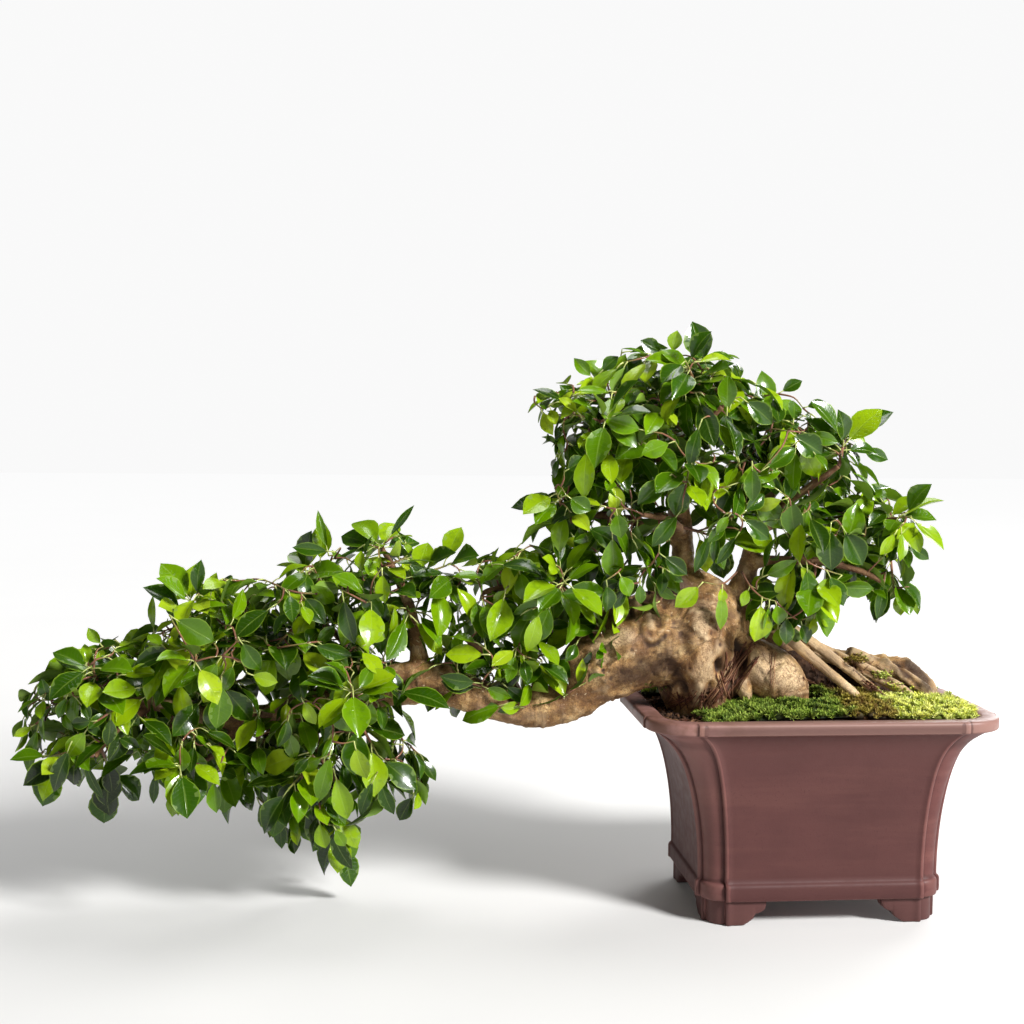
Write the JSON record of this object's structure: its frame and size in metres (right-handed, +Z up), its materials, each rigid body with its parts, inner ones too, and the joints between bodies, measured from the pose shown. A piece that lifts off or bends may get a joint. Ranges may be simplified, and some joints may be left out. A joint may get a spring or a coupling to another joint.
{
  "type": "chinese banyan bonsai",
  "caption": "Cascading banyan bonsai with thick surface roots, leafy sprays and moss, in a footed rectangular stoneware pot.",
  "frame": {"origin": "middle of the whole part in plan, on the surface that the pot stands on", "axes": "+X along the pot's long front face, away from the cascading limb; +Y from the front to the back; +Z up"},
  "size_m": [0.9514, 0.2338, 0.5705],
  "materials": {
    "bark": "matte",
    "pot_clay": "satin",
    "soil": "matte",
    "screen": "matte",
    "moss_dark": "matte",
    "moss_brown": "matte",
    "moss_bright": "matte",
    "leaf": "satin"
  },
  "bodies": {
    "root": {"pot": "pot_clay", "soil": "soil", "wood": "bark", "drain_screen_left": "screen", "drain_screen_right": "screen", "moss_front_dark": "moss_dark", "moss_front_brown": "moss_brown", "moss_front_bright": "moss_bright", "moss_back_dark": "moss_dark", "cascade_spray_01": "leaf", "crown_spray_02": "leaf", "shoulder_spray_03": "leaf", "crown_spray_04": "leaf", "cascade_spray_05": "leaf", "cascade_spray_06": "leaf", "crown_spray_07": "leaf", "crown_spray_08": "leaf", "cascade_spray_09": "leaf", "crown_spray_10": "leaf", "cascade_spray_11": "leaf", "cascade_spray_12": "leaf", "cascade_spray_13": "leaf", "cascade_spray_14": "leaf", "cascade_spray_15": "leaf", "crown_spray_16": "leaf", "crown_spray_17": "leaf", "crown_spray_18": "leaf", "crown_spray_19": "leaf", "cascade_spray_20": "leaf", "shoulder_spray_21": "leaf", "crown_spray_22": "leaf", "cascade_spray_23": "leaf", "crown_spray_24": "leaf", "cascade_spray_25": "leaf", "shoulder_spray_26": "leaf", "cascade_spray_27": "leaf", "cascade_spray_28": "leaf", "crown_spray_29": "leaf", "cascade_spray_30": "leaf", "cascade_spray_31": "leaf", "shoulder_spray_32": "leaf", "cascade_spray_33": "leaf", "cascade_spray_34": "leaf", "crown_spray_35": "leaf", "cascade_spray_36": "leaf", "crown_spray_37": "leaf", "crown_spray_38": "leaf", "crown_spray_39": "leaf", "crown_spray_40": "leaf", "cascade_spray_41": "leaf", "crown_spray_42": "leaf", "cascade_spray_43": "leaf", "cascade_spray_44": "leaf", "cascade_spray_45": "leaf", "cascade_spray_46": "leaf", "cascade_spray_47": "leaf", "cascade_spray_48": "leaf"}
  },
  "joints": []
}
